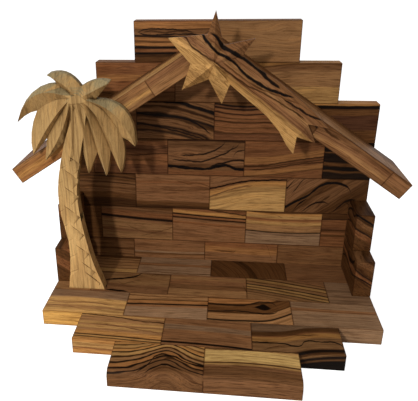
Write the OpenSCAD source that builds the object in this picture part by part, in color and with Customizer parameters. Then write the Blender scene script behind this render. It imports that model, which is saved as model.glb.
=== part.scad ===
// Wooden nativity stable, glued up from short olive-wood blocks laid like bricks.
// A stepped back panel and a stepped floor carry two low side walls and a gable roof;
// a carved comet star hangs on the roof's front and a carved palm stands before its left eaves.
// Sizes are in millimetres. X runs to the right, Y to the back and Z up, and the origin is
// the middle of the whole width and depth, on the underside.

/* [Blocks] */
// Length of a full block
block_l = 61; // [50:1:75]
// Width of a block: the height of a wall row and the depth of a floor strip
block_w = 30; // [24:1:36]
// Thickness of the blocks in the back panel and in the floor
block_t = 12.5; // [9:0.5:16]
// Width of the eased arris along each block
arris = 0.4; // [0.2:0.1:1]

/* [Floor] */
// Depth of the trimmed strip along the back panel
rear_strip_d = 27; // [18:1:36]
// Radius of the rounded top edge of the front step
nose_r = 5; // [2:0.5:8]

/* [Side walls] */
// Thickness of the side walls
side_t = 13.5; // [9:0.5:18]
// Depth of the lower block of each side wall
side_lower_d = 46; // [40:1:52]
// Depth of the upper block of each side wall
side_upper_d = 29; // [20:1:38]

/* [Roof] */
// Pitch of both roof panels, in degrees
roof_pitch = 34; // [28:1:38]
// Thickness of the roof blocks
roof_t = 13; // [9:0.5:16]
// Drop of the ridge below the top of the back panel
ridge_drop = 6; // [2:1:15]
// Reach of the eaves past the sides of the back panel
eaves_over = 20; // [8:1:30]
// Depth of the roof's front strip
roof_front_d = 30; // [24:1:36]
// Depth of the roof's trimmed strip against the back panel
roof_rear_d = 21; // [18:1:26]
// Sideways shift of the whole roof on the back panel
roof_shift = -4; // [-8:0.5:8]
// Tilt of the whole roof, in degrees: more than 0 lifts its left end
roof_tilt = 0.7; // [-1.5:0.1:1.5]

/* [Comet star] */
// Reach of the star's arms from its middle
star_arm = 30; // [24:1:34]
// Length of the comet's tail from the star's middle
star_tail = 87; // [75:1:95]
// Thickness of the star on its ridges at the middle
star_t = 10.5; // [6:0.5:12]
// Thickness of the star at its edges
star_edge_t = 3; // [2:0.5:5]
// Drop of the star's middle below the ridge
star_drop = 15; // [10:1:20]

/* [Palm] */
// Height of the middle of the palm's crown above the floor
palm_h = 154; // [140:1:165]
// Reach of the long fronds from the middle of the crown
crown_reach = 50; // [42:1:54]
// Width of the trunk at its waist
trunk_w = 14; // [11:0.5:18]
// Thickness of the board that the palm is carved from
palm_t = 10.5; // [8:0.5:13]
// Depth of the grooves carved between the fronds
frond_fall = 5.5; // [2:0.5:6.5]
// Depth of the notches carved across the trunk
notch_depth = 3.6; // [1.6:0.2:4.4]
// Distance of the middle of the palm's foot from the side of the stable
palm_inset = 26; // [24:1:32]

/* [Hidden] */
$fn = 48;
overrun = 2;

// Joints of the back panel's rows from the top row down, in block lengths from the middle
wall_joint_shares = [
    [-1, 0, 1],
    [-1.5, -0.5, 0.5, 1.5],
    [-2, -1, 0, 1, 2],
    [-2, -1.6, -0.6, 0.4, 1.4, 2],
    [-2, -1.04, -0.04, 0.96, 2],
    [-2, -1.54, -0.54, 0.46, 1.46, 2],
    [-2, -1.09, -0.09, 0.91, 2]
];
// Joints of the floor's strips from the back strip forward, in block lengths from the middle
floor_joint_shares = [
    [-2, -0.99, 0.01, 1.01, 2],
    [-2, -1.52, -0.52, 0.48, 1.48, 2],
    [-2, -1, 0, 1, 2],
    [-1.5, -0.49, 0.51, 1.5],
    [-1, 0, 1]
];
// Ends and joints down each roof panel, in shares of its length from the ridge
roof_front_right_shares = [0, 0.191, 0.547, 0.903, 1];
roof_front_left_shares = [0, 0.295, 0.65, 1];
roof_rear_right_shares = [0, 0.39, 0.745, 1];
roof_rear_left_shares = [0, 0.18, 0.535, 0.89, 1];

orange = "#a8692f";
fawn = "#b48a58";
brown = "#8d6038";
red = "#7d4a2a";
dark = "#5c3a22";
grey = "#93765a";
pale = "#cfae74";
honey = "#bd9156";
wall_tones = [
    [orange, brown],
    [red, fawn, brown],
    [dark, brown, brown, dark],
    [red, red, dark, red, dark],
    [dark, brown, fawn, dark],
    [orange, brown, fawn, brown, dark],
    [red, brown, brown, dark]
];
floor_tones = [
    [fawn, brown, dark, grey],
    [dark, orange, brown, brown, grey],
    [fawn, orange, brown, brown],
    [fawn, brown, orange],
    [brown, fawn]
];
roof_front_right_tones = [brown, brown, orange, brown];
roof_front_left_tones = [brown, brown, orange];

wall_rows = len(wall_joint_shares);
floor_strips = len(floor_joint_shares);
wall_half = 2 * block_l;
wall_h = wall_rows * block_w;
footprint_d = block_t + rear_strip_d + (floor_strips - 1) * block_w;
wall_y = footprint_d / 2 - block_t;

roof_d = roof_front_d + roof_rear_d;
roof_y = wall_y - roof_d;
ridge_z = wall_h - ridge_drop;
roof_run = (wall_half + eaves_over) / cos(roof_pitch);
roof_mitre = roof_t * tan(roof_pitch);
left_pitch = roof_pitch - roof_tilt;
right_pitch = roof_pitch + roof_tilt;
// Places of the middle of the back panel and of the ridge: the eaves reach as far to both sides
wall_x = roof_run * (cos(left_pitch) - cos(right_pitch)) / 2 - roof_shift;
roof_x = wall_x + roof_shift;

// Each arm of the star: the angle and reach of its tip, then of the valley after it, counted
// round from the valley above the tail; reaches are shares of star_arm
star_first_valley_shares = [13, 0.62];
star_arm_shares = [
    [30, 0.99, 61, 0.41],
    [89, 1.07, 104, 0.6],
    [153, 1.11, 184, 0.51],
    [221, 0.92, 254, 0.38],
    [282, 0.93, 308, 0.59]
];
// The tail's sections: distance from the middle, lower edge, ridge and upper edge, all in
// shares of star_tail, measured across a line that points down the tail
star_tail_angle = -37.6;
star_tail_shares = [
    [0.14, -0.05, 0.02, 0.165],
    [0.28, -0.057, 0.027, 0.163],
    [0.45, -0.064, 0.033, 0.185],
    [0.57, -0.069, 0.035, 0.185],
    [0.72, -0.1, 0.025, 0.183],
    [0.845, -0.152, 0.015, 0.171]
];
// The three points that end the tail: tip, then the place across where its base ends
star_tip_shares = [[0.93, -0.172, -0.045], [1, 0, 0.08], [1, 0.148, 0.171]];
// Thickness of the tail on its ridge, as a share of the star's middle thickness
tail_ridge_share = 0.8;

// The palm's trunk from the foot up: height and sideways shift in shares of palm_h, and half
// width in shares of trunk_w
trunk_shares = [
    [-0.02, 0, 1.05], [0.03, 0, 0.97], [0.14, -0.012, 0.66], [0.26, -0.022, 0.5],
    [0.35, -0.036, 0.49], [0.44, -0.05, 0.52], [0.55, -0.053, 0.5], [0.65, -0.037, 0.49],
    [0.73, -0.018, 0.47], [0.81, 0.004, 0.46], [0.91, 0.035, 0.36], [1, 0.057, 0.2]
];
// Height of the trunk's face, as a share of palm_t, and the places on each side of every bend
// where its outline is rounded
trunk_face_share = 0.84;
trunk_bend_steps = 3;
crown_shift_share = 0.057;
// The grooves between the fronds, round from the top to the left: root, bend and notch at the
// outer end, in shares of crown_reach from the middle of the crown
groove_shares = [
    [-0.04, 0.06, -0.03, 0.1, -0.02, 0.14],
    [-0.13, 0.04, -0.23, 0.08, -0.34, 0.18],
    [-0.18, -0.01, -0.41, -0.01, -0.66, -0.19],
    [-0.19, -0.04, -0.34, -0.22, -0.56, -0.57],
    [-0.16, -0.06, -0.22, -0.33, -0.31, -0.62],
    [-0.12, -0.06, -0.1, -0.33, -0.07, -0.7],
    [-0.03, -0.05, 0.05, -0.33, 0.14, -0.77],
    [0.02, -0.04, 0.15, -0.19, 0.33, -0.72],
    [0.07, -0.03, 0.3, -0.14, 0.5, -0.55],
    [0.05, 0, 0.11, 0, 0.16, -0.03]
];
// The fronds, each after the groove of its own row: bend of the ridge, tip, bends of the free
// edges on the near and the far side, then the height of the ridge in shares of palm_t
frond_shares = [
    [-0.21, 0.21, -0.44, 0.32, -0.18, 0.4, -0.39, 0.27, 0.985],
    [-0.71, 0.26, -0.93, -0.33, -0.79, 0.17, -0.83, -0.22, 0.96],
    [-0.47, -0.29, -0.76, -0.8, -0.85, -0.53, -0.65, -0.68, 0.975],
    [-0.25, -0.44, -0.59, -0.89, -0.6, -0.77, -0.43, -0.74, 0.99],
    [-0.14, -0.44, -0.24, -0.9, -0.35, -0.8, -0.1, -0.83, 0.965],
    [0.03, -0.51, 0.02, -1.07, -0.05, -0.88, 0.1, -0.87, 0.98],
    [0.17, -0.43, 0.27, -1.1, 0.17, -0.87, 0.31, -0.9, 0.97],
    [0.36, -0.37, 0.49, -1.04, 0.38, -0.87, 0.56, -0.74, 0.995],
    [0.52, -0.11, 0.7, -0.65, 0.6, -0.57, 0.68, -0.01, 0.955],
    [0.16, 0.11, 0.38, 0.22, 0.25, 0.08, 0.18, 0.28, 0.992]
];
frond_steps = 10;
// Lap of each frond over its neighbours' grooves
frond_lap = 0.3;
// Depth of a groove at its root and at a frond's tip, in shares of frond_fall, then the shares
// of a frond's length over which it deepens and grows shallow again
frond_fall_shares = [0.1, 0.25, 0.32, 0.3];
// Reach of the uncarved middle of the crown, in shares of the grooves' length
crown_middle_share = 0.14;
// The notches up each edge of the trunk: height in shares of palm_h, place of the inner end in
// shares of the trunk's half width there, and depth in shares of notch_depth
right_notch_shares = [
    [0.1, 0.1, 0.35], [0.16, 0, 0.6], [0.258, -0.2, 0.8], [0.364, -0.19, 0.85], [0.471, -0.43, 1],
    [0.571, -0.25, 1], [0.658, -0.38, 1], [0.728, -0.2, 1]
];
right_notch_slope = -42;
left_notch_shares = [
    [0.118, -0.35, 0.55], [0.206, -0.35, 0.45], [0.291, -0.5, 0.5], [0.374, -0.46, 0.4],
    [0.452, -0.6, 0.4], [0.53, -0.6, 0.25], [0.6, -0.55, 0.25], [0.683, -0.3, 0.3]
];
left_notch_slope = 25;
// Outer end of a notch in shares of the trunk's half width, and the widths of its short upper
// lip and of its long lower slope in shares of its depth
notch_reach_share = 1.5;
notch_lip_share = 0.3;
notch_run_share = 2.2;

tail_ridge_t = star_t * tail_ridge_share;

palm_x = wall_x + palm_inset - wall_half;
palm_y = wall_y - side_lower_d;
trunk_left = palm_x + min([for (s = trunk_shares) s[1] * palm_h - s[2] * trunk_w]);
lean_z = ridge_z + (trunk_left - roof_x) * tan(left_pitch) - roof_t / cos(left_pitch);
palm_lean = atan2(roof_d - side_lower_d, lean_z - block_t);

function wall_name(r, i) = str("wall_row_", r + 1, "_block_", i + 1);
function floor_name(s, i) = str("floor_strip_", s + 1, "_block_", i + 1);
function roof_name(side, i) = str("roof_", side, "_block_", i + 1);

// Section of a block with its four long edges eased
module eased_section(w, t) {
    polygon([
        [arris, 0], [w - arris, 0], [w, arris], [w, t - arris],
        [w - arris, t], [arris, t], [0, t - arris], [0, arris]
    ]);
}

// Section of the front step, rounded along its front top edge
module nosed_section(w, t) {
    difference() {
        eased_section(w, t);
        difference() {
            translate([-overrun, t - nose_r]) square(nose_r + overrun);
            translate([nose_r, t - nose_r]) circle(nose_r);
        }
    }
}

// Carries a section along X between two joints, its first side to the back and its second up
module along_x(from, to) {
    translate([from, 0, 0]) rotate([90, 0, 90]) linear_extrude(to - from) children();
}

// One block of the back panel, counted from the top row down and from the left
module wall_block(r, i) {
    joints = wall_joint_shares[r] * block_l;
    color(wall_tones[r][i])
        translate([wall_x, wall_y, (wall_rows - 1 - r) * block_w])
        along_x(joints[i], joints[i + 1])
        eased_section(block_t, block_w);
}

// One block of the floor, counted from the back strip forward and from the left
module floor_block(s, i) {
    joints = floor_joint_shares[s] * block_l;
    depth = s == 0 ? rear_strip_d : block_w;
    color(floor_tones[s][i])
        translate([wall_x, wall_y - rear_strip_d - s * block_w, 0])
        along_x(joints[i], joints[i + 1])
        if (s == floor_strips - 1) nosed_section(depth, block_t);
        else eased_section(depth, block_t);
}

// One side wall block: side is -1 on the left and 1 on the right, level 0 is the lower
module side_block(side, level, depth) {
    x = side > 0 ? wall_half - side_t : -wall_half;
    color(side > 0 ? red : dark)
        translate([wall_x, wall_y - depth, block_t + level * block_w])
        along_x(x, x + side_t)
        side_section(depth);
}

// Outline of a side wall block: its depth, then its height, eased at its front end
module side_section(depth) {
    polygon([
        [arris, 0], [depth, 0], [depth, block_w],
        [arris, block_w], [0, block_w - arris], [0, arris]
    ]);
}

// A stretch of one roof panel between two shares of its length, side -1 on the left and 1 on
// the right; what reaches the ridge is mitred upright, and joints inside it show as grooves
module roof_piece(side, from, to, front_y, depth, tone, joints = []) {
    color(tone)
        translate([roof_x, front_y, ridge_z])
        rotate([0, roof_tilt, 0])
        mirror([side < 0 ? 1 : 0, 0, 0])
        difference() {
            rotate([0, roof_pitch, 0])
                difference() {
                    translate([0, 0, -roof_t])
                        along_x(from * roof_run, to * roof_run)
                        eased_section(depth, roof_t);
                    for (j = joints, level = [0, -roof_t]) {
                        translate([j * roof_run, -overrun, level])
                            rotate([0, 45, 0])
                            translate([-arris / 2, 0, -arris / 2])
                            cube([arris, depth + 2 * overrun, arris]);
                    }
                }
            if (from == 0) {
                translate([-roof_mitre - overrun, -overrun, -2 * roof_t])
                    cube([roof_mitre + overrun, depth + 2 * overrun, 2 * roof_t + overrun]);
            }
        }
}

// One block of the roof's front strip, counted from the ridge
module roof_front_block(side, shares, i, tones) {
    roof_piece(side, shares[i], shares[i + 1], roof_y, roof_front_d, tones[i]);
}

// The trimmed strip of a roof panel that is glued to the back panel, its blocks joined in one
module roof_rear_strip(side, shares) {
    inner = [for (i = [1:len(shares) - 2]) shares[i]];
    roof_piece(side, 0, 1, roof_y + roof_front_d, roof_rear_d, brown, inner);
}

// A solid point list as its convex hull
module hulled(points) {
    hull() polyhedron(points = points, faces = [[for (i = [0:len(points) - 1]) i]]);
}

function polar(angle, reach) = [cos(angle), sin(angle)] * reach;
function raised(p, z) = [p[0], p[1], z];

// One straight-ridged arm between two valleys, flat at the back
module star_arm_solid(tip, valley_a, valley_b) {
    hulled([
        [0, 0, 0], [0, 0, star_t], raised(tip, 0), raised(tip, star_edge_t),
        raised(valley_a, 0), raised(valley_a, star_edge_t),
        raised(valley_b, 0), raised(valley_b, star_edge_t)
    ]);
}

// Points of one section across the tail: lower edge, ridge and upper edge, front and back
function tail_section(row) =
    let (d = row[0] * star_tail, lower = row[1] * star_tail, upper = row[3] * star_tail)
    [
        [d, lower, 0], [d, upper, 0], [d, lower, star_edge_t], [d, upper, star_edge_t],
        [d, row[2] * star_tail, tail_ridge_t]
    ];

// Height of the tail's surface across one of its sections
function tail_height(row, across) = lookup(
    across,
    [[row[1], star_edge_t], [row[2], tail_ridge_t], [row[3], star_edge_t]]
);

// The comet's tail, with three points cut into its end
module star_tail_solid() {
    last = star_tail_shares[len(star_tail_shares) - 1];
    base = [last[1], star_tip_shares[0][2], star_tip_shares[1][2], last[3]];
    rotate(star_tail_angle) {
        hulled(concat([[0, 0, 0], [0, 0, star_t]], tail_section(star_tail_shares[0])));
        for (i = [1:len(star_tail_shares) - 1]) {
            hulled(concat(tail_section(star_tail_shares[i - 1]), tail_section(star_tail_shares[i])));
        }
        for (i = [0:2]) {
            tip = [star_tip_shares[i][0], star_tip_shares[i][1]] * star_tail;
            hulled([
                for (across = [base[i], (base[i] + base[i + 1]) / 2, base[i + 1]])
                    for (z = [0, tail_height(last, across)])
                        raised([last[0], across] * star_tail, z),
                raised(tip, 0),
                raised(tip, star_edge_t)
            ]);
        }
    }
}

// The comet star, carved from one piece and glued flat on the roof's front
module comet_star() {
    count = len(star_arm_shares);
    color(honey)
        translate([wall_x, roof_y, ridge_z - star_drop])
        rotate([90, 0, 0]) {
            for (i = [0:count - 1]) {
                row = star_arm_shares[i];
                before = i == 0
                    ? star_first_valley_shares
                    : [star_arm_shares[i - 1][2], star_arm_shares[i - 1][3]];
                star_arm_solid(
                    polar(row[0], row[1] * star_arm),
                    polar(before[0], before[1] * star_arm),
                    polar(row[2], row[3] * star_arm)
                );
            }
            star_tail_solid();
        }
}

function bezier(a, b, c, t) = (1 - t) * (1 - t) * a + 2 * t * (1 - t) * b + t * t * c;
function bezier_way(a, b, c, t) = 2 * (1 - t) * (b - a) + 2 * t * (c - b);
function turned(v) = [-v[1], v[0]] / norm(v);

// Rounds a path of points: a curve through the middle of each stretch, ends kept
function rounded_path(p, steps) = concat(
    [p[0]],
    [
        for (i = [1:len(p) - 2], k = [0:steps])
            bezier((p[i - 1] + p[i]) / 2, p[i], (p[i] + p[i + 1]) / 2, k / steps)
    ],
    [p[len(p) - 1]]
);

// One side of a frond at a share of its length: along its groove as far as the notch, which
// lies at one of the frond's steps, then along the free edge to the tip
function frond_side(groove, edge_bend, tip, t) =
    let (
        root = [groove[0], groove[1]],
        bend = [groove[2], groove[3]],
        notch = [groove[4], groove[5]],
        step = max(2, min(frond_steps - 2, round(frond_steps * norm(notch) / norm(tip)))),
        split = step / frond_steps
    )
    t <= split
        ? bezier(root, bend, notch, t / split) * crown_reach
        : bezier(notch, edge_bend, tip, (t - split) / (1 - split)) * crown_reach;

// Depth of the grooves beside a frond at a share of its length
function groove_fall(t) = frond_fall * min(
    1,
    frond_fall_shares[0] + t / frond_fall_shares[2],
    frond_fall_shares[1] + (1 - t) / frond_fall_shares[3]
);

// Points of one section across a frond: both edges, front and back, and the ridge between
function frond_section(i, t) =
    let (
        row = frond_shares[i],
        near_groove = groove_shares[i],
        far_groove = groove_shares[(i + 1) % len(groove_shares)],
        root = [near_groove[0] + far_groove[0], near_groove[1] + far_groove[1]] / 2,
        bend = [row[0], row[1]],
        tip = [row[2], row[3]],
        lap = turned(bezier_way(root, bend, tip, t)) * frond_lap,
        near = frond_side(near_groove, [row[4], row[5]], tip, t) - lap,
        far = frond_side(far_groove, [row[6], row[7]], tip, t) + lap,
        ridge = palm_t * row[8],
        edge = ridge - groove_fall(t)
    )
    [
        raised(far, 0), raised(near, 0), raised(near, edge),
        raised(bezier(root, bend, tip, t) * crown_reach, ridge), raised(far, edge)
    ];

// A closed solid through a row of sections that have as many points each
module loft(sections) {
    m = len(sections[0]);
    last = (len(sections) - 1) * m;
    polyhedron(
        points = [for (ring = sections, p = ring) p],
        faces = concat(
            [[for (i = [m - 1:-1:0]) i]],
            [[for (i = [0:m - 1]) last + i]],
            [
                for (k = [0:len(sections) - 2], i = [0:m - 1], upper = [0, 1])
                    let (a = k * m + i, b = k * m + (i + 1) % m)
                    upper ? [a, b + m, a + m] : [a, b, b + m]
            ]
        )
    );
}

// One frond: a bent leaf with a sharp ridge, flat at the back
module frond(i) {
    loft([for (k = [0:frond_steps]) frond_section(i, k / frond_steps)]);
}

// The uncarved middle of the crown, where the grooves run out
module crown_middle() {
    hulled([
        for (g = groove_shares)
            let (
                root = [g[0], g[1]],
                outer = bezier(root, [g[2], g[3]], [g[4], g[5]], crown_middle_share)
            )
            each [
                raised(root * crown_reach, palm_t),
                raised(outer * crown_reach, palm_t - groove_fall(crown_middle_share)),
                raised(outer * crown_reach, 0)
            ]
    ]);
}

// Slanted notches up one edge of the trunk, each running out to nothing at its inner end, with
// a short upper lip and a long lower slope; way is -1 on the left and 1 on the right
module trunk_notches(shares, slope, way, face) {
    for (row = shares) {
        half = trunk_half(row[0]) * trunk_w;
        depth = notch_depth * row[2];
        lip = depth * notch_lip_share;
        run = depth * notch_run_share;
        outer = notch_reach_share * half * way - row[1] * half;
        translate([trunk_shift(row[0]) * palm_h + row[1] * half, row[0] * palm_h, face])
            rotate([0, 0, slope])
            hulled([
                [0, 0, 0],
                [0, -run, overrun], [0, lip, overrun], [outer, -run, overrun],
                [outer, lip, overrun], [outer, -run, 0], [outer, lip, 0],
                [outer, 0, -depth]
            ]);
    }
}

// Sideways shift and half width of the trunk at a height, each in the shares of trunk_shares
function trunk_shift(h) = lookup(h, [for (s = trunk_shares) [s[0], s[1]]]);
function trunk_half(h) = lookup(h, [for (s = trunk_shares) [s[0], s[2]]]);

// The trunk, curved and flared at its foot
module trunk() {
    left = [for (s = trunk_shares) [s[1] * palm_h - s[2] * trunk_w, s[0] * palm_h]];
    right = [for (s = trunk_shares) [s[1] * palm_h + s[2] * trunk_w, s[0] * palm_h]];
    left_side = rounded_path(left, trunk_bend_steps);
    right_side = rounded_path(right, trunk_bend_steps);
    face = palm_t * trunk_face_share;
    difference() {
        linear_extrude(face)
            polygon(concat(left_side, [for (i = [len(right_side) - 1:-1:0]) right_side[i]]));
        trunk_notches(right_notch_shares, right_notch_slope, 1, face);
        trunk_notches(left_notch_shares, left_notch_slope, -1, face);
    }
}

// The palm, carved from one board: it stands on the floor and leans on the roof's front
module palm_tree() {
    color(pale)
        difference() {
            translate([palm_x, palm_y, block_t])
                rotate([90 + palm_lean, 0, 0])
                union() {
                    trunk();
                    translate([crown_shift_share * palm_h, palm_h]) {
                        crown_middle();
                        for (i = [0:len(frond_shares) - 1]) frond(i);
                    }
                }
            translate([palm_x - trunk_w * 2, palm_y - palm_t * 2, block_t - palm_h])
                cube([trunk_w * 4, palm_t * 3, palm_h]);
        }
}

for (r = [0:wall_rows - 1], i = [0:len(wall_joint_shares[r]) - 2]) {
    wall_block(r, i);
}
for (s = [0:floor_strips - 1], i = [0:len(floor_joint_shares[s]) - 2]) {
    floor_block(s, i);
}
for (i = [0:len(roof_front_right_shares) - 2]) {
    roof_front_block(1, roof_front_right_shares, i, roof_front_right_tones);
}
for (i = [0:len(roof_front_left_shares) - 2]) {
    roof_front_block(-1, roof_front_left_shares, i, roof_front_left_tones);
}
roof_rear_strip(1, roof_rear_right_shares);  // roof_right_rear_strip
roof_rear_strip(-1, roof_rear_left_shares);  // roof_left_rear_strip
side_block(-1, 0, side_lower_d);  // side_wall_left_lower
side_block(-1, 1, side_upper_d);  // side_wall_left_upper
side_block(1, 0, side_lower_d);  // side_wall_right_lower
side_block(1, 1, side_upper_d);  // side_wall_right_upper
comet_star();
palm_tree();
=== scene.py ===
"""Looks of the wooden nativity stable: olive-wood blocks, a carved comet star and a carved palm.

Every piece keeps the place of its CAD solid and gets its own cut of wood. A cut is laid on a piece
from one corner, in millimetres along and across the grain. What a cut can say:

bands        tones across the grain, each with the place where it ends
soft         width over which one tone turns into the next
turn         angle of the bands in the piece, in degrees
bend         how far the bands sink at places along the piece
eye          knot that the bands part around: place along, place across, reach and swell
arch         hump in the bands: place along, reach and how far they sink there
wave         size of the grain's uneven waves
rings        width of the growth rings, with ring_dark for how dark they are
fine, patch  strength of the fine streaks and of the dark patches
shade        brightness of the whole cut
fade         painted shade along the piece: where it starts and ends, and the share of light left
veins        single dark lines: tone and width, then the points that the line runs through
"""
import math

import bmesh
import bpy
from mathutils import Matrix, Vector


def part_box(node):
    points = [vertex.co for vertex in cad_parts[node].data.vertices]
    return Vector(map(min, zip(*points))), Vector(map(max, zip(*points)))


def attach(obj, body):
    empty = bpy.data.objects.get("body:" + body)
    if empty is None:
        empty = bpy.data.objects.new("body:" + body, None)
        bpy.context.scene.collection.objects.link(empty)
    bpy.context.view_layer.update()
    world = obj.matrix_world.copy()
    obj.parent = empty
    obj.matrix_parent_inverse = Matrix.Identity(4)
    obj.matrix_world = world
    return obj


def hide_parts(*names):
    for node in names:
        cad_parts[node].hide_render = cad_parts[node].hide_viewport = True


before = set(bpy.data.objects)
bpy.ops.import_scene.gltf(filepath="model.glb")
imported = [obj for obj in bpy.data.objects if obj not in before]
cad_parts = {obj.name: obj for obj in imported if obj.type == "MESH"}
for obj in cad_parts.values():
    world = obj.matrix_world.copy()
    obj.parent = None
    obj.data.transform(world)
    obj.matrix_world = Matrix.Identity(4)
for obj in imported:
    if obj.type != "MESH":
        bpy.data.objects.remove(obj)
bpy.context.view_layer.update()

MM = 0.001
X, Y, Z = Vector((1, 0, 0)), Vector((0, 1, 0)), Vector((0, 0, 1))

# The photograph's camera, fitted to the blocks of the back panel: place in mm, with x from the
# panel's middle, turns in radians, and focal length and middle of the picture in the photograph's
# pixels
CAMERA_PLACE = Vector((8.9, -347.6, 248.0))
CAMERA_YAW = 0.1273
CAMERA_PITCH = -0.3977
CAMERA_ROLL = -0.0168
FOCAL_PX = 546.9
MIDDLE_PX = (159.0, 194.2)
PHOTO_PX = (418, 401)
SENSOR_MM = 36.0

# Spot that both lamps look at, in metres, and the lamps: way to each from that spot, distance and
# side in metres, and power in watts
LAMP_AIM = Vector((0, 0.02, 0.08))
KEY_LAMP = dict(way=(-0.28, -1, 0.42), distance=1.5, size=0.08, power=12)
SOFT_LAMP = dict(way=(-0.3, -0.5, 1), distance=1.2, size=1.4, power=8.2)
# Brightness of the white room on the object
ROOM_LIGHT = 0.3
# The floor's tone, roughness, glow to the camera and half its side in metres
FLOOR_WHITE = 0.8
FLOOR_ROUGHNESS = 0.9
FLOOR_GLOW = 0.8
FLOOR_REACH = 12.0

# Length of a whole block, in mm
BLOCK_LENGTH = 61.0
# Slopes of the roof's panels and of the comet's tail below the horizon, in degrees
ROOF_SLOPES = {"left": -33.3, "right": 34.7}
TAIL_SLOPE = 37.6
# Ends and joints of the rear roof strips' blocks, in shares of a strip's length from the ridge
REAR_JOINTS = {"right": (0, 0.39, 0.745, 1), "left": (0, 0.18, 0.535, 0.89, 1)}
# Rounding of the edges by sanding, in mm, and the angles in degrees from which an edge is rounded
BLOCK_EASE = 0.22
ROOF_EASE = 0.25
REAR_EASE = 0.2
SIDE_EASE = 0.25
STAR_EASE = 0.2
PALM_EASE = 0.12
SHARP_ANGLE = 20
CARVED_ANGLE = 30
# Gaps and edges that count as none when a mesh is merged, sawn or eased, in mm, and the angle in
# degrees that counts as flat
MERGE_GAP = 0.001
CUT_GAP = 0.0001
ROOF_SLIVER = 0.01
CARVED_SLIVER = 0.002
FLAT_ANGLE = 1

# Tones of the wood
TONES = {
    "cream": "cfa867", "straw": "ba8e55", "tan": "a37a48", "fawn": "8d653f", "clay": "7e5636",
    "brown": "6f4b2d", "umber": "58381d", "bark": "402712", "soot": "1e1209", "coal": "120a05",
    "rust": "7a4e2e", "russet": "643f26", "orange": "916238", "amber": "a87742", "wine": "4a2d1c",
    "ash": "85664a", "mist": "7a5c42", "pale": "c9a168", "moss": "7d765a", "gold": "c6954f",
}
# Tints that a tone is multiplied by
GRAIN_DARK = (0.3, 0.235, 0.18)
GRAIN_BRIGHT = (1.16, 1.12, 1.06)
PATCH_DARK = (0.62, 0.52, 0.45)
# The flank tint browns the carved pieces' right and lower sides: partly their own wood, partly painted shade
FLANK_BROWN_AND_SHADE = (0.46, 0.36, 0.26)
# The crease tint is painted shade in the carved pieces' creases
CREASE_SHADE = (0.3, 0.22, 0.14)

# Range of the bands' places across a cut, and how far a bend and a vein may lie, in mm
CUT_RANGE = (-24.0, 44.0)
BEND_RANGE = (-30.0, 30.0)
VEIN_RANGE = (-10.0, 40.0)
NO_BEND = [(0, 0), (BLOCK_LENGTH, 0)]
# How near to a block's end a vein starts or stops that runs on past it, and how far it runs on, in mm
NEAR_START = 2.0
NEAR_STOP = 3.0
VEIN_RUN_ON = 20.0

# How a piece's name becomes its seed: weight of the first letter, count of the seeds, and seeds to
# a step of 1
LETTER_WEIGHT = 7
SEEDS = 977
SEED_DENSITY = 9.7
# Waves to the millimetre of the wood's uneven spots: along the grain, across it and into the piece
WAVES = {
    "broad wave": (1 / 70, 1 / 22, 1 / 40), "middle wave": (1 / 24, 1 / 8, 1 / 16),
    "small wave": (1 / 8, 1 / 2.4, 1 / 5), "streak": (1 / 45, 0.55, 0.15), "fine": (1 / 13, 1.7, 0.7),
    "pore": (0.55, 6.5, 5.0), "patch": (1 / 26, 1 / 11, 1 / 11), "vein shake": (0.22, 0.1, 0.12),
    "vein width": (0.11, 0.0, 0.1), "flank_ragging": (0.12, 0.12, 0.2),
}
# Swing of the grain's waves and of the veins from one side to the other, in mm
BROAD_SWING = 2.4
MIDDLE_SWING = 1.0
SMALL_SWING = 0.3
VEIN_SWING = 1.6
# How hard a knot pulls the bands round itself, and the swell that stands for no knot, in mm
EYE_PULL = 0.8
LEAST_SWELL = 0.01
# Growth rings: how far the streaks move them in rings, how sharply each one ends, and the least tone
RING_SWAY = 1.1
RING_SHARPNESS = 4.0
LEAST_RING = 0.12
# A vein's uneven width as a share that comes and goes and one that stays, the stretches in mm over
# which it tapers, stops and fades out at its sides, the place of its width's own unevenness, and
# the step between the seeds of a piece's veins
VEIN_WIDTHS = (1.4, 0.2)
VEIN_TAPER = (-2.0, 6.0)
VEIN_END = (-1.5, 1.5)
VEIN_EDGE = (-0.25, 0.55)
VEIN_WIDTH_SHIFT = 3.0
VEIN_SEED_STEP = 3.7
# Marks on the wood: the levels at which each kind begins and is full, and its strength there
MARKS = {
    "dark streak": ((0.5, 0.7), 0.5), "bright streak": ((0.5, 0.3), 1.0),
    "fine streak": ((0.47, 0.68), 0.7), "pore": ((0.66, 0.8), 0.5), "patch": ((0.45, 0.7), 0.4),
    # The brown side and underside marks are partly the wood's own brown and partly painted shade
    "joint": ((0.9, 0.3), 0.8), "grey top": ((0.62, 1.0), 1.0), "brown side": ((0.45, 1.0), 1.0),
    # The crease mark is painted shade
    "brown underside": ((-0.2, -0.75), 1.0), "crease": ((0.78, 0.4), 0.6),
}
# How ragged the noise makes the joints' dirt, in mm, and the carved pieces' grey and their brown,
# which is partly painted shade
JOINT_RAGGED = 0.35
GREY_RAGGED = 0.5
BROWN_AND_SHADE_RAGGED = 0.2
# Gloss of the oiled wood, its roughness by itself, in streaks and in pores, and its relief: height
# of the fine streaks and rings and depth of the pores, in shares of a depth in mm
GLOSS = 0.035
ROUGHNESS = (0.44, 0.16, 0.2)
RELIEF = (0.5, 0.25, 0.7)
RELIEF_STRENGTH = 0.35
RELIEF_DEPTH = 0.15
# Reach of the painted shade in the creases of the carved pieces, in mm
CREASE_SHADE_REACH = 3.0
# How brown the carved pieces' dark sides are, a brown that is partly their own and partly painted
# shade, and how grey their top edges
STAR_FLANKS = (0.4, 0.0)
PALM_FLANKS = (0.35, 0.7)
# How far the cuts of the side walls and of the star move across with the depth
SIDE_OVER = 0.6
STAR_OVER = -0.3

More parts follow.
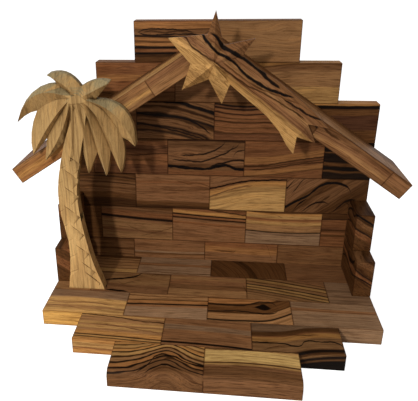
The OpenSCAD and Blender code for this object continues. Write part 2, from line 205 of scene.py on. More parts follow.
# Cuts of the back panel's blocks, row by row from the top: from above a block's top edge down to
# its lower one
WALL_CUTS = {
    (1, 1): dict(
        bands="orange -9 brown -1 rust .6 orange 5.2 umber 6 brown 10 soot 11.6 orange 14 umber 15.4 "
              "orange 17.6 soot 19.8 rust 22.2 coal 23.8 bark 26 umber 40",
        soft=.7, wave=.9,
        veins=["soot .8: 3 8 / 8 6.2 / 24 5.8 / 36 6.6 / 44 8.4",
               "soot 1: 3 8 / 9 10 / 22 9.9 / 38 9.4 / 52 10.6",
               "bark .7: 7 8.2 / 15 7.2 / 24 8.6 / 32 7.4 / 40 8.2"]),
    (1, 2): dict(
        bands="brown 1 fawn 40", eye=(52, 9, 16, 9), wave=2.2, rings=2.4, ring_dark=.5, fine=.7,
        shade=.84),
    (2, 1): dict(
        bands="rust -9 brown 0 rust 9 orange 14 rust 22 umber 40", wave=1.4, rings=5, ring_dark=.35,
        patch=1.2,
        veins=["bark .6: 0 23 / 14 24.5 / 30 25 / 40 24", "russet 1.2: 16 5 / 24 3.6 / 32 4.6"]),
    (2, 2): dict(bands="umber 5 brown 16 clay 22 brown 40", wave=1.2, rings=2.6, ring_dark=.6),
    (2, 3): dict(
        bands="tan -9 amber 0 umber 1.4 brown 5 fawn 17 tan 40", bend=[(0, 3), (20, 1), (61, 0)],
        wave=1.2, rings=2.2, ring_dark=.6, shade=.85),
    (3, 1): dict(bands="brown 40", wave=2),
    (3, 2): dict(
        bands="brown -9 brown 1 coal 3.5 brown 5.5 bark 8 brown 12 soot 14 bark 17 brown 21 "
              "soot 22.4 umber 25 soot 26.2 brown 40",
        soft=1.2, bend=[(0, -3), (20, -2), (40, 1), (61, 7)], wave=3.6, rings=3, ring_dark=.8,
        veins=["coal 2: 12 0 / 35 .8 / 50 5 / 61 8",
               "coal 1.4: 0 9 / 12 10.4 / 28 11.8 / 44 15.4 / 58 25",
               "soot 1.2: 0 16.7 / 12 19 / 25 21.6 / 44 26.5 / 54 30"]),
    (3, 3): dict(
        bands="umber 2 coal 3.4 russet 4.6 soot 6 rust 8.6 soot 9.6 rust 12.4 umber 13.4 rust 15.6 "
              "bark 16.8 rust 20 umber 21 rust 24 bark 25 russet 40",
        soft=.8, bend=[(0, -1.5), (22, 0), (40, -1), (61, 0)], wave=2),
    (3, 4): dict(bands="tan -9 amber 1 coal 3.6 umber 8 wine 20 umber 40", wave=1.6, patch=1.5),
    (4, 1): dict(bands="umber 40", wave=1.5),
    (4, 2): dict(
        bands="umber -2 umber 1.6 rust 5 russet 12 rust 22 russet 40", wave=1.3, rings=2, ring_dark=.4,
        patch=.8,
        veins=["bark .7: 27 13.4 / 40 13.8 / 50 12.4 / 61 12", "bark .5: 22 8 / 40 9 / 61 7.4",
               "umber .6: 16 19 / 40 18 / 61 18.6"]),
    (4, 3): dict(
        bands="umber 0 bark 2.4 brown 8 clay 20 brown 25 rust 40", eye=(16, 14, 15, 4), wave=2.4,
        rings=3.4, ring_dark=.8, shade=.78,
        veins=["coal 2.4: 0 22.6 / 12 23.4 / 24 24.2 / 32 24.2 / 40 21.6 / 47 20.8 / 54 23.4 / 61 24",
               "soot 1.4: 34 22.4 / 40 19.8 / 46 18.4 / 52 16.6 / 61 16.6",
               "soot 1.1: 4 17 / 14 17.6 / 26 18.2 / 36 15 / 44 11.6 / 50 8 / 52.6 3.6",
               "soot 1.1: 10 13 / 22 12.6 / 34 10 / 42 5.4 / 46 1",
               "soot .8: 45 9 / 50 7.6 / 54 5.6 / 57 2", "soot .7: 52 14 / 55 9.4 / 61 7.6"]),
    (4, 4): dict(
        bands="rust 9 orange 15 rust 17 bark 18 rust 21 orange 25 umber 26 rust 40", soft=1,
        bend=[(0, 4), (20, 2.4), (40, -1), (61, -4)], wave=1.2, rings=3, ring_dark=.45, shade=.8,
        veins=["bark 1: 2 21 / 20 19.4 / 38 15.4 / 61 11.6",
               "bark .8: 4 24 / 22 22.2 / 40 18.6 / 61 16"]),
    (4, 5): dict(
        bands="coal 9 umber 10 soot 17 umber 19 coal 22 umber 23.4 soot 40", wave=3, rings=3,
        ring_dark=1),
    (5, 1): dict(
        bands="bark 1 umber 3 soot 3.6 umber 6.4 brown 8 bark 8.8 brown 12 umber 13.4 brown 17 "
              "umber 22 bark 40",
        bend=[(0, 0), (30, -.6), (58, 1)], wave=1.2, rings=2.4, ring_dark=.8),
    (5, 2): dict(
        bands="clay 6 rust 8 clay 24 umber 27.6 bark 40", wave=1.4, rings=2.6, ring_dark=.6, patch=.8,
        veins=["umber .8: 26 27 / 40 25.4 / 52 26.4 / 61 27.4",
               "umber .6: 34 5 / 44 7.6 / 50 7 / 61 9.6", "umber .5: 20 12.6 / 38 13.4 / 61 12"]),
    (5, 3): dict(
        bands="clay 2 rust 5 amber 9 tan 14 straw 40", soft=1.6,
        bend=[(0, 8), (12, 5), (24, 1.6), (36, -.6), (61, -1.6)], wave=.6, rings=5, ring_dark=.12,
        shade=.86,
        veins=["coal 1.1: 0 11 / 8 9.4 / 16 6.8 / 26 4.4 / 38 3 / 61 2",
               "brown 1: 0 19 / 8 15.4 / 16 12 / 26 9 / 34 7.6"]),
    (5, 4): dict(
        bands="clay 4 umber 12 brown 22 umber 40", turn=-38, wave=3.4, rings=3.4, ring_dark=.9,
        shade=.85,
        veins=["coal 2.2: 1 25 / 9 19.6 / 17 15.2 / 22 10 / 27 5.6 / 33 3.4 / 40 3.6 / 46 5.6 / "
                 "49.6 9.4 / 50.6 13",
               "soot 1.5: 1 8.6 / 4 4.4 / 7 .6", "soot 1.5: 5 12.6 / 8 9 / 11 3.6 / 14 .4",
               "coal 1.8: 7 28 / 12 21.4 / 17 17.6", "soot 1.4: 14 29 / 21 22.6 / 28 20 / 34 21",
               "bark 3: 28 19 / 32 16.4 / 35 13.6", "bark 2.4: 24 14 / 27 11.4 / 29 9.4",
               "soot 1.8: 38 28.6 / 43 23 / 48 18.4 / 55 17", "soot 1.4: 48 20 / 52 23.6 / 56 27"]),
    (6, 1): dict(bands="umber 40", wave=1.5),
    (6, 2): dict(
        bands="umber 1 brown 4 rust 8.6 soot 10.9 clay 13 fawn 21 clay 24 fawn 40", soft=.8,
        bend=[(0, -2.4), (30, 0), (61, 1.8)], wave=.8, rings=4, ring_dark=.4, shade=.85,
        veins=["brown .7: 22 17 / 40 23.4 / 50 22 / 61 17.6", "brown .6: 34 27 / 46 24 / 56 24.6"]),
    (6, 3): dict(
        bands="umber .6 rust 3 amber 6 coal 7.4 rust 9 soot 10.3 clay 13 rust 15.2 clay 40", soft=.8,
        bend=[(0, -2.2), (24, -.6), (61, 1.2)], wave=.9, rings=2.6, ring_dark=.5,
        veins=["bark 1: 30 .4 / 42 2 / 52 3.4 / 61 4.4"]),
    (6, 4): dict(
        bands="umber 1 amber 3 tan 5.8 rust 7.8 orange 8.8 tan 12 fawn 17.6 soot 18.6 mist 21 ash 40",
        soft=.7, bend=[(0, -.8), (28, .8), (61, -.4)], wave=.5, rings=5, ring_dark=.2,
        veins=["bark .8: 25.6 3.4 / 27.2 4.2 / 29 5.2"]),
    (6, 5): dict(
        bands="umber 4.4 soot 5.4 rust 13 russet 14.6 bark 16 rust 19 umber 21 rust 40", wave=.9,
        rings=3, ring_dark=.6, shade=.85),
    (7, 1): dict(bands="umber 3 brown 9 umber 11 brown 40", wave=1.2, rings=2.4, ring_dark=.7),
    (7, 2): dict(
        bands="clay 10 ash 11.6 umber 13 clay 40", wave=1.2, rings=2.6, ring_dark=.45, patch=.8),
    (7, 3): dict(
        bands="rust 4 orange 10 clay 40", wave=1.4, rings=5, ring_dark=.25,
        veins=["umber .8: 8 7.8 / 18 8.6 / 26 8 / 29.6 5.6 / 27 2",
               "umber .8: 51 0 / 53.6 5 / 55 10 / 57.4 15"]),
    (7, 4): dict(bands="brown 40", wave=1.6, rings=4, ring_dark=.3, patch=.9),
}
# Cuts of the floor's blocks, strip by strip from the back: from a block's rear edge forward and down
# over its front edge
FLOOR_CUTS = {
    (1, 1): dict(
        bands="umber 4 fawn 6 umber 7 fawn 10 brown 11.4 fawn 15 umber 16 fawn 20 brown 21.4 tan 27 "
              "fawn 44",
        bend=[(0, -3), (36, 0), (61, .6)], wave=1, rings=2.4, ring_dark=.6, shade=1.1),
    (1, 2): dict(
        bands="ash 10 clay 14 ash 44", wave=1.2, rings=3.4, ring_dark=.3, shade=1.12,
        veins=["umber .7: 4 25.4 / 20 24.6 / 40 25.8 / 61 24.8"]),
    (1, 3): dict(
        bands="umber 9 bark 16 umber 44", turn=62, bend=[(0, 9), (15, 2), (30, 0), (45, 3), (61, 9)],
        wave=2, rings=2.2, ring_dark=1.1, patch=.8, shade=.95),
    (1, 4): dict(bands="clay 44", wave=1.8, rings=5, ring_dark=.3, patch=1, shade=.86),
    (2, 1): dict(bands="fawn 44", wave=1.4, rings=5, ring_dark=.25, patch=.8),
    (2, 2): dict(
        bands="brown 2 fawn 18 clay 44", wave=2.6, rings=5, ring_dark=.4, patch=1.2, shade=.84,
        veins=["coal 2.4: 8 13 / 16 11.4 / 24 9.6 / 31 7 / 36 2 / 38 -1.4",
               "umber 1: 43 27 / 44.4 21 / 41.6 14 / 42.4 7 / 46 3 / 54 1",
               "umber .8: 48 6 / 51 2 / 55 .4", "coal 6: 9 15 / 11 21 / 13 28",
               "coal 2.2: 12 27.6 / 21 28 / 30 29", "umber .8: 20 15 / 24 18 / 28 16 / 34 12"]),
    (2, 3): dict(
        bands="clay 3 fawn 8 clay 14 brown 20 fawn 44", wave=1.6, rings=5, ring_dark=.25, patch=.9,
        veins=["bark 1.6: 57.6 8 / 59 14 / 60.6 20"]),
    (2, 4): dict(
        bands="clay 1 umber 2 fawn 4.6 bark 6.4 tan 9.6 umber 11.4 fawn 14.4 soot 16 tan 18.4 "
              "bark 19.8 tan 22.4 soot 23.6 fawn 26 umber 27 fawn 44",
        soft=1.1, bend=[(0, -6.5), (20, -2.6), (40, 2), (61, 7)], wave=1.4, rings=2.4, ring_dark=.7,
        shade=.8),
    (2, 5): dict(bands="mist 44", wave=1.4, rings=3, ring_dark=.3, shade=.98),
    (3, 1): dict(
        bands="mist 9 ash 11 straw 15.4 tan 17 straw 21 fawn 23 tan 26 straw 30 gold 44", soft=1.5,
        bend=[(0, 0), (30, -.6), (61, 1.5)], wave=1.1, rings=5, ring_dark=.3, shade=1.14,
        veins=["fawn 1: 0 16 / 16 18 / 30 16.4 / 50 19", "fawn .8: 10 22 / 30 24 / 50 22.6"]),
    (3, 2): dict(
        bands="fawn 7.4 bark 8.8 orange 12.6 soot 14.6 clay 17 ash 44", soft=.9,
        bend=[(0, 1.6), (30, 0), (61, -1.6)], wave=.7, rings=3.2, ring_dark=.4, shade=1.25,
        veins=["umber .9: 0 3 / 30 3.4 / 61 .6"]),
    (3, 3): dict(
        bands="umber 1.4 orange 7 bark 9.6 umber 18 bark 19.6 fawn 27.4 soot 29.4 fawn 44", soft=.9,
        bend=[(0, 0), (26, 0), (44, -2), (52, -6), (61, -12)], eye=(42, 10.8, 11, 5), wave=.7,
        rings=2.6, ring_dark=.7, shade=1.3,
        veins=["coal 7: 34.4 11 / 40 10.4 / 46.4 11.2",
               "soot 1.4: 0 9.4 / 14 9.6 / 26 9.2 / 34 5.6 / 41 3.4 / 48 4.6 / 51 9.6",
               "soot 1.4: 0 18.8 / 16 17.2 / 26 16.8 / 36 18.2 / 44 18.4 / 50.6 15 / 51.4 11"]),
    (3, 4): dict(
        bands="ash 8 clay 12 ash 44", wave=1.1, rings=2.6, ring_dark=.35, patch=.6, shade=1.06),
    (4, 1): dict(
        bands="orange 1 tan 3 fawn 9 tan 12 fawn 14 tan 17 fawn 20 amber 24.2 bark 25.6 tan 27 "
              "soot 28 amber 33 tan 37 rust 38 amber 44",
        soft=.8, bend=[(0, -.8), (30, 0), (61, .9)], wave=.9, rings=2.8, ring_dark=.5, shade=1.2,
        veins=["bark 1: 0 .8 / 16 2 / 30 3.4 / 42 5.8 / 52 6.6 / 61 7",
               "brown 1: 10 12.6 / 30 13.4 / 50 17 / 61 18"]),
    (4, 2): dict(
        bands="clay 8 mist 14 clay 26.6 coal 28.6 clay 44", soft=.8,
        bend=[(0, -1), (20, -.6), (40, .6), (61, 2.4)], wave=.8, rings=3, ring_dark=.3, patch=.6),
    (4, 3): dict(
        bands="mist 8 umber 12.6 rust 14 amber 19 fawn 30 brown 31 soot 34 umber 36 fawn 37.4 "
              "soot 40 brown 41 coal 44",
        soft=1.2, bend=[(0, 2.4), (20, 1), (40, -4.6), (61, -6.4)], wave=1.2, rings=3, ring_dark=.5,
        shade=.68,
        veins=["coal 1.1: 0 21.6 / 10 21.4 / 22 21.6 / 29 23.6 / 32.4 22.4 / 35 18 / 39 16.6 / "
                 "44 17.4 / 54 16.6 / 58 18.4 / 61 24",
               "umber .8: 8 29 / 16 25 / 24 23.4", "umber .8: 20 12 / 34 11 / 46 9.6"]),
    (5, 1): dict(
        bands="tan 3 bark 4 amber 7 soot 8 tan 11 umber 12 amber 14.6 soot 16 tan 19 bark 20.6 "
              "fawn 23 coal 24.6 orange 28 soot 29.6 brown 32 soot 33.4 brown 44",
        soft=.7, arch=(37, 15, -17), wave=3.4, rings=2.8, ring_dark=1,
        veins=["coal 1.3: 19 29 / 26 20 / 29 13 / 33 10.4 / 38 10.8 / 42 12 / 50 16.6 / 61 20",
               "coal 1.6: 24 29 / 31 22.6 / 36 20 / 42 22 / 48 25",
               "bark 2.6: 34 16 / 38 13.6 / 43 15.4"]),
    (5, 2): dict(
        bands="fawn .6 straw 3 cream 14 straw 14.6 bark 15.8 tan 17.6 clay 21 brown 31 clay 44",
        soft=.6, bend=[(0, .4), (30, -1.4), (61, .6)], wave=.7, rings=4, ring_dark=.2, fine=1.2,
        shade=.86,
        veins=["umber .9: 0 1.4 / 18 1 / 40 .6 / 61 .4", "umber .7: 0 20 / 12 19 / 22 18.4"]),
}
# Cuts of the roof's front blocks, from the ridge down each panel, of its rear blocks, and of the
# side walls: from a block's upper edge down
ROOF_CUTS = {
    ("right", 1): dict(bands="fawn 0 brown 12 umber 40", wave=1, rings=2.4, ring_dark=.6),
    ("right", 2): dict(
        bands="fawn 0 brown 4 umber 8 brown 40", wave=1.4, rings=2.6, ring_dark=.8,
        veins=["soot 1.6: 30 4 / 40 6 / 50 4 / 61 6"]),
    ("right", 3): dict(
        bands="fawn -8 tan -7 fawn -4 tan -3 brown -.6 umber .6 brown 4 clay 7 fawn 10 brown 40",
        bend=[(0, 3), (30, 0), (61, -1)], wave=1, rings=3, ring_dark=.5, patch=1.2,
        veins=["bark 1.4: 0 2 / 8 4 / 18 3.6"]),
    ("right", 4): dict(
        bands="fawn 0 brown 2 clay 8 brown 40", wave=.8, rings=4, ring_dark=.35, patch=1),
    ("left", 1): dict(bands="tan 0 clay 1 clay 6 fawn 40", wave=1.4, rings=3, ring_dark=.5, patch=1.2),
    ("left", 2): dict(
        bands="tan -3 straw -1 tan 0 clay 1 fawn 6 tan 9 fawn 40", wave=1.2, rings=2.6, ring_dark=.45,
        patch=1.2),
    ("left", 3): dict(
        bands="clay 0 fawn 2 orange 5 amber 9 orange 40", wave=1.2, rings=3, ring_dark=.5, patch=1),
}
ROOF_REAR_CUT = dict(bands="umber -8 brown 0 umber 6 brown 40", wave=1.2, rings=2.6, ring_dark=.8)
SIDE_CUTS = {
    ("left", "lower"): dict(bands="rust 6 umber 14 rust 22 umber 40", wave=1.8, rings=3, ring_dark=.6),
    ("left", "upper"): dict(bands="umber 8 rust 18 umber 40", wave=2, rings=3, ring_dark=.8),
    ("right", "lower"): dict(
        bands="umber 4 bark 6 brown 10 umber 14 soot 15.4 rust 20 bark 22 umber 40", eye=(20, 14, 8, 8),
        wave=4.4, rings=3, ring_dark=.9, patch=1.2, shade=.88,
        veins=["coal 3: 4 9 / 10 14 / 16 16 / 24 16.6 / 30 13",
               "soot 1.2: 0 20 / 12 24 / 26 21 / 46 26", "soot 1: 20 6 / 30 9 / 46 5"]),
    ("right", "upper"): dict(
        bands="umber 5 bark 7 brown 13 umber 17 soot 18.6 rust 23 umber 40", wave=4.4, rings=3,
        ring_dark=1, patch=1.2, shade=.88,
        veins=["coal 2: 2 8 / 8 12 / 14 10 / 29 16", "soot 1: 4 22 / 14 20 / 29 25"]),
}
# The star's cut starts this far before and above the star's middle, which lies this far below the
# top of the ridge, all in mm
STAR_CUT_BEFORE = 25
STAR_CUT_ABOVE = 20
STAR_DROP = 15
STAR_CUT = dict(
    bands="brown 9 clay 13 fawn 17 clay 21.6 tan 24 straw 32 tan 44", soft=1.2, wave=1.2, rings=2.2,
    ring_dark=.7, shade=.95,
    veins=["bark 1: 1.5 19.8 / 7 22 / 16.5 22 / 27 21.4 / 40.6 20.7 / 53.6 19.5 / 60.5 17.6 / "
             "78 15.1 / 95 13.6",
           "coal 2: 6.5 11 / 13.6 13.8 / 21 15.5 / 27.3 14.3 / 35 13.7 / 44.4 14.9 / 54 14.5 / "
             "62.6 13.2 / 80 6.7",
           "coal 2.6: 12 8 / 17 8.4 / 24 10 / 30.2 9.2 / 38.7 7.5 / 47.8 6.7 / 58.6 8 / 69 8",
           "soot 1.4: 75 12 / 87 10.7 / 96 9.4 / 105 6.4",
           "umber 1: 29 18.4 / 41 18 / 55 17 / 71 12.5 / 85 8"])
# The palm's cut starts this far left of the back panel's middle, in mm. Its veins are a knot and
# the fresh end of one frond
PALM_CUT_INSET = 116
# The palm's fade is painted shade, darker towards its crown
PALM_CUT = dict(
    bands="pale 40", wave=1.6, rings=4, ring_dark=.16, fine=.5, patch=.8, fade=(30, 140, .66),
    veins=["bark 1.4: 138 31.6 / 139.4 31.6", "cream 5: 163 44.6 / 167 49.4"])
# Painted shade lines in the notches up each edge of the palm's trunk: tone, way out, slope in
# degrees, and for each notch the height and the place across of its inner end, its run outwards and the
# width
RIGHT_NOTCH_SHADES = ("umber", 1, 42, [
    (15.5, 20, 11, 1.5), (24.5, 18, 10.5, 1.5), (39.5, 15, 9.5, 1.5), (56, 13, 8.5, 1.5),
    (72.5, 9, 10.5, 1.6), (88, 10.5, 9, 1.6), (101.5, 12, 9, 1.6), (112, 16, 8, 1.6)])
LEFT_NOTCH_SHADES = ("brown", -1, 25, [
    (18, 15, 6.5, 1.6), (31.5, 14.5, 5, 1.4), (45, 12.5, 3.5, 1.6), (57.5, 10.5, 4, 1.2),
    (69.5, 8, 3, 1.2), (81.5, 7.5, 3, 1), (92.5, 9.5, 3, 1), (105, 13.5, 4.5, 1.2)])


def linear(tone):
    """A named tone as linear red, green, blue and alpha."""
    code = TONES[tone]
    parts = [int(code[i:i + 2], 16) / 255 for i in (0, 2, 4)]
    return (*[c / 12.92 if c <= 0.04045 else ((c + 0.055) / 1.055) ** 2.4 for c in parts], 1)


class Wiring:
    """Short ways to add and join the nodes of one tree."""

    def __init__(self, tree):
        self.tree = tree

    def add(self, kind, inputs=(), **settings):
        node = self.tree.nodes.new("ShaderNode" + kind)
        for key, value in settings.items():
            setattr(node, key, value)
        self.join_all(inputs, node)
        return node

    def join_all(self, inputs, node):
        for key, value in dict(inputs).items():
            self.join(value, node.inputs[key])

    def join(self, value, socket):
        if isinstance(value, bpy.types.NodeSocket):
            self.tree.links.new(value, socket)
        else:
            socket.default_value = value

    def group(self, name, inputs):
        return self.add("Group", inputs, node_tree=groups[name])

    def math(self, operation, *values, clamp=False):
        return self.add("Math", enumerate(values), operation=operation, use_clamp=clamp).outputs[0]

    def plus(self, first, second):
        return self.math("ADD", first, second)

    def minus(self, first, second):
        return self.math("SUBTRACT", first, second)

    def times(self, first, second, clamp=False):
        return self.math("MULTIPLY", first, second, clamp=clamp)

    def divided(self, first, second):
        return self.math("DIVIDE", first, second)

    def least(self, first, second):
        return self.math("MINIMUM", first, second)

    def most(self, first, second):
        return self.math("MAXIMUM", first, second)

    def times_add(self, value, times, add):
        return self.math("MULTIPLY_ADD", value, times, add)

    def swing(self, noise, size):
        """Uneven spots made to swing to both sides of nought."""
        return self.times_add(noise, size, -size / 2)

    def ramp(self, value, start, end, low=0.0, high=1.0):
        """Goes softly from low to high while the value goes from start to end."""
        return self.add("MapRange", enumerate((value, start, end, low, high)), clamp=True,
                        interpolation_type="SMOOTHSTEP").outputs[0]

    def place(self, x, y, z):
        return self.add("CombineXYZ", enumerate((x, y, z))).outputs[0]

    def parts(self, place):
        return self.add("SeparateXYZ", [(0, place)]).outputs

    def noise(self, waves, place, shifts, detail, rough=0.5):
        """Uneven spots with a number of waves along each axis, moved on by a shift."""
        spot = [self.times_add(*terms) for terms in zip(place, WAVES[waves], shifts)]
        return self.add("TexNoise", {"Vector": self.place(*spot), "Scale": 1.0, "Detail": detail,
                                     "Roughness": rough}).outputs[0]

    def mix(self, share, first, second, blend="MIX"):
        """Mixes two colours, which a Mix node takes on its inputs 6 and 7."""
        return self.add("Mix", {0: share, 6: first, 7: second}, data_type="RGBA",
                        blend_type=blend).outputs[2]

    def marks(self, noise, kind, share=None):
        """How much of a mark each place has."""
        levels, strength = MARKS[kind]
        full = strength if share is None else self.times(share, strength)
        return self.times(self.ramp(noise, *levels), full, clamp=True)

    def tinted(self, colour, tint):
        return self.mix(1.0, colour, (*tint, 1), "MULTIPLY")

    def curve(self, value, points, low, high):
        """A value along the piece turned into another one by a drawn curve through points."""
        length = max(BLOCK_LENGTH, points[-1][0])
        node = self.add("FloatCurve", [("Value", self.divided(value, length))])
        line = node.mapping.curves[0]
        spots = [(x / length, (y - low) / (high - low)) for x, y in points]
        for spot, place in zip(line.points, (spots[0], spots[-1])):
            spot.location = place
        for x, y in spots[1:-1]:
            line.points.new(x, y)
        node.mapping.extend = "HORIZONTAL"
        node.mapping.update()
        return self.times_add(node.outputs[0], high - low, low)


def group_of(name, inputs, outputs):
    """A new node group with plain number, vector or colour sockets."""
    tree = bpy.data.node_groups.new(name, "ShaderNodeTree")
    kinds = {"number": "NodeSocketFloat", "vector": "NodeSocketVector", "colour": "NodeSocketColor"}
    for side, sockets in (("INPUT", inputs), ("OUTPUT", outputs)):
        for kind, labels in sockets.items():
            for label in labels:
                tree.interface.new_socket(label, in_out=side, socket_type=kinds[kind])
    ins, outs = tree.nodes.new("NodeGroupInput").outputs, tree.nodes.new("NodeGroupOutput").inputs
    return Wiring(tree), ins, outs


def make_figure_group():
    """The place across the grain, moved as the growth of the tree bent the grain."""
    w, ins, outs = group_of("olive figure", {
        "vector": ["Place"],
        "number": ["Bend", "Wave", "Seed", "Eye at", "Eye across", "Eye reach", "Eye swell",
                   "Arch at", "Arch reach", "Arch rise"],
    }, {"number": ["Line"]})
    place, seed = w.parts(ins["Place"]), ins["Seed"]
    x, y, _ = place
    broad = w.noise("broad wave", place, (seed, 0, seed), 0)
    middle = w.noise("middle wave", place, (seed, seed, 0), 1)
    small = w.noise("small wave", place, (seed, 0, 0), 1)
    wave = w.plus(w.swing(broad, BROAD_SWING), w.swing(middle, MIDDLE_SWING))
    wave = w.plus(wave, w.swing(small, SMALL_SWING))
    line = w.minus(w.plus(y, w.times(wave, ins["Wave"])), ins["Bend"])
    off = w.divided(w.minus(x, ins["Arch at"]), ins["Arch reach"])
    line = w.minus(line, w.divided(ins["Arch rise"], w.times_add(off, off, 1.0)))
    along = w.divided(w.minus(x, ins["Eye at"]), ins["Eye reach"])
    across = w.minus(line, ins["Eye across"])
    side = w.divided(across, w.plus(w.math("ABSOLUTE", ins["Eye swell"]), LEAST_SWELL))
    away = w.plus(w.times(along, along), w.times(side, side))
    pull = w.divided(EYE_PULL, w.times_add(away, away, 1.0))
    share = w.times(pull, w.math("GREATER_THAN", ins["Eye swell"], 0.0))
    w.join(w.minus(line, w.times(across, share)), outs["Line"])
    return w.tree


def make_vein_group():
    """One dark vein that follows a drawn curve and tapers to its ends."""
    w, ins, outs = group_of("olive vein", {
        "colour": ["Base", "Tone"], "vector": ["Place"],
        "number": ["Centre", "Width", "From", "To", "Seed"],
    }, {"colour": ["Colour"]})
    place, seed = w.parts(ins["Place"]), ins["Seed"]
    x, y, _ = place
    shake = w.noise("vein shake", place, (seed, 0, 0), 2)
    off = w.math("ABSOLUTE", w.minus(w.plus(y, w.swing(shake, VEIN_SWING)), ins["Centre"]))
    thick = w.noise("vein width", place, (seed, VEIN_WIDTH_SHIFT, 0), 1)
    from_start, to_end = w.minus(x, ins["From"]), w.minus(ins["To"], x)
    taper = w.times(w.ramp(from_start, *VEIN_TAPER), w.ramp(to_end, *VEIN_TAPER))
    half = w.times(w.times(ins["Width"], w.times_add(thick, *VEIN_WIDTHS)), taper)
    body = w.ramp(w.minus(off, half), *VEIN_EDGE, 1.0, 0.0)
    share = w.times(body, w.times(w.ramp(from_start, *VEIN_END), w.ramp(to_end, *VEIN_END)))
    w.join(w.mix(share, ins["Base"], ins["Tone"]), outs["Colour"])
    return w.tree


def make_grain_group():
    """Growth rings, streaks, pores and joints of oiled olive wood over a cut's own tones."""
    w, ins, outs = group_of("olive grain", {
        "colour": ["Base"], "vector": ["Place", "Size"],
        "number": ["Line", "Seed", "Ring width", "Ring dark", "Fine", "Patch", "Joint"],
    }, {"colour": ["Colour"], "number": ["Roughness", "Height"]})
    place, line, seed = w.parts(ins["Place"]), ins["Line"], ins["Seed"]
    x, _, z = place
    streak = w.noise("streak", (x, line, z), (seed, 0, seed), 2)
    fine = w.noise("fine", (x, line, z), (seed, 0, 0), 2, 0.6)
    pore = w.noise("pore", (x, line, z), (0, seed, 0), 0)
    patch = w.noise("patch", place, (seed, seed, 0), 1)

    sway = w.times_add(streak, RING_SWAY, w.times(line, w.divided(1.0, ins["Ring width"])))
    count = w.math("FLOOR", sway)
    rise = w.math("POWER", w.math("FRACT", sway), RING_SHARPNESS)
    own = w.add("TexWhiteNoise", {"W": w.plus(count, seed)}, noise_dimensions="1D").outputs["Value"]
    ring = w.times(w.times(rise, w.times_add(own, own, LEAST_RING)), ins["Ring dark"], clamp=True)
    dark = w.tinted(ins["Base"], GRAIN_DARK)
    colour = w.mix(ring, ins["Base"], dark)
    colour = w.mix(w.marks(streak, "dark streak"), colour, dark)
    colour = w.mix(w.marks(streak, "bright streak"), colour, w.tinted(colour, GRAIN_BRIGHT))
    colour = w.mix(w.marks(fine, "fine streak", ins["Fine"]), colour, dark)
    colour = w.mix(w.marks(pore, "pore"), colour, dark)
    colour = w.mix(w.marks(patch, "patch", ins["Patch"]), colour, w.tinted(colour, PATCH_DARK))

    sides = zip(place, w.parts(ins["Size"]))
    along, across, deep = [w.least(spot, w.minus(size, spot)) for spot, size in sides]
    edge = w.most(w.least(along, across), w.least(w.most(along, across), deep))
    joint = w.marks(w.times_add(fine, JOINT_RAGGED, edge), "joint", ins["Joint"])
    w.join(w.mix(joint, colour, dark), outs["Colour"])
    pores = w.ramp(pore, *MARKS["pore"][0])
    own_rough, streak_rough, pore_rough = ROUGHNESS
    rough = w.plus(w.times_add(streak, streak_rough, own_rough), w.times(pores, pore_rough))
    w.join(rough, outs["Roughness"])
    fine_high, ring_high, pore_deep = RELIEF
    height = w.plus(w.times(fine, fine_high), w.times(rise, ring_high))
    w.join(w.minus(height, w.times(pores, pore_deep)), outs["Height"])
    return w.tree


groups = {}
groups["figure"] = make_figure_group()
groups["vein"] = make_vein_group()
groups["grain"] = make_grain_group()


def block_place(w, corner, axes):
    """The place on a piece in millimetres, from its corner along its own axes."""
    turn = Matrix(axes).transposed().to_euler()
    coords = w.add("TexCoord").outputs["Object"]
    return w.add("Mapping", {"Vector": coords, "Location": corner, "Rotation": turn,
                             "Scale": (MM, MM, MM)}, vector_type="TEXTURE").outputs[0]


def turned(w, x, y, degrees, size):
    """A place turned about the middle of a piece."""
    cos, sin = math.cos(math.radians(degrees)), math.sin(math.radians(degrees))
    mid_x, mid_y = size[0] / 2, size[1] / 2
    from_x, from_y = w.minus(x, mid_x), w.minus(y, mid_y)
    return (w.plus(w.times(from_x, cos), w.times_add(from_y, sin, mid_x)),
            w.plus(w.times(from_x, -sin), w.times_add(from_y, cos, mid_y)))


def grain_line(w, cut, x, y, z, seed):
    """How far across the grain a place lies, with the cut's bends, knot and hump taken out."""
    eye_at, eye_across, eye_reach, eye_swell = cut.get("eye", (0, 0, 1, 0))
    arch_at, arch_reach, arch_rise = cut.get("arch", (0, 1, 0))
    return w.group("figure", {
        "Place": w.place(x, y, z), "Bend": w.curve(x, cut.get("bend", NO_BEND), *BEND_RANGE),
        "Wave": cut.get("wave", 1.0), "Seed": seed,
        "Eye at": eye_at, "Eye across": eye_across, "Eye reach": eye_reach, "Eye swell": eye_swell,
        "Arch at": arch_at, "Arch reach": arch_reach, "Arch rise": arch_rise,
    }).outputs["Line"]


def band_tones(w, cut, line):
    """A cut's tones side by side on a colour ramp, each as far as its own place."""
    start, end = CUT_RANGE
    node = w.add("ValToRGB", [(0, w.divided(w.minus(line, start), end - start))])
    words, soft = cut["bands"].split(), cut.get("soft", 1.0)
    pairs = [(words[i], float(words[i + 1])) for i in range(0, len(words), 2)]
    stops = []
    for (tone, place), (following, _) in zip(pairs, pairs[1:]):
        stops += [(place - soft / 2, tone), (place + soft / 2, following)]
    stops = stops or [(0.0, pairs[0][0])]
    marks = node.color_ramp.elements
    while len(marks) < len(stops):
        marks.new(1.0)
    while len(marks) > max(1, len(stops)):
        marks.remove(marks[-1])
    for mark, (place, tone) in zip(marks, stops):
        mark.position = (place - start) / (end - start)
        mark.color = linear(tone)
    return node.outputs[0]


